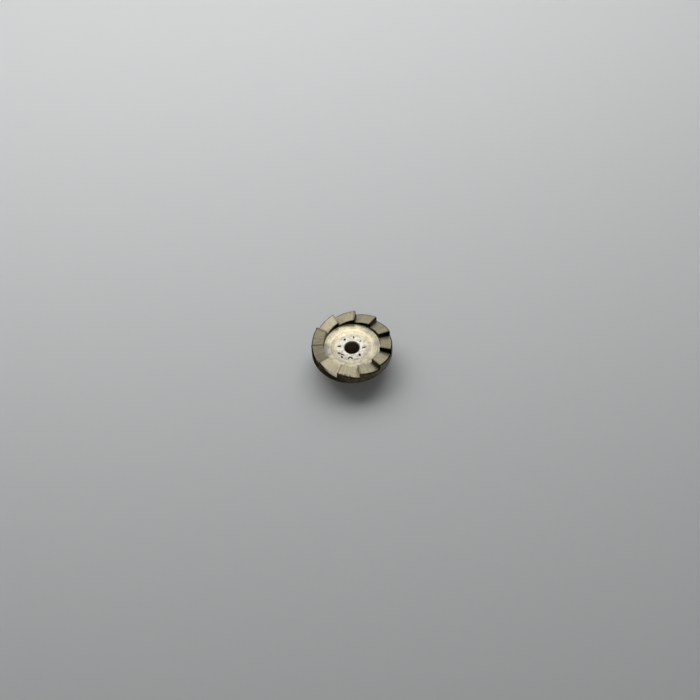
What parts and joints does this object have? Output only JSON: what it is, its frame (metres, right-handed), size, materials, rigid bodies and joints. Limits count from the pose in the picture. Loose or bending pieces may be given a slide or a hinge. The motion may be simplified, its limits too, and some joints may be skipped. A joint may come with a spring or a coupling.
{
  "type": "watch pinion",
  "caption": "Small steel watch pinion: a wheel with face ratchet teeth round a recessed floor, riveted onto a hollow leaf pinion with a plain running bore.",
  "frame": {"origin": "centre of the pinion's lower end, on the surface that it stands on", "axes": "+Z along the bore, from the leaves towards the ratchet teeth; +X to the right in the picture, +Y away from its camera"},
  "size_m": [0.0032, 0.0032, 0.0012],
  "materials": {
    "wheel_steel": "satin, with turning rings on the floor and radial grain on the teeth",
    "pinion_steel": "bright, polished leaves and a hammered riveted end"
  },
  "bodies": {
    "root": {"ratchet_wheel": "wheel_steel", "leaf_pinion": "pinion_steel"}
  },
  "joints": []
}
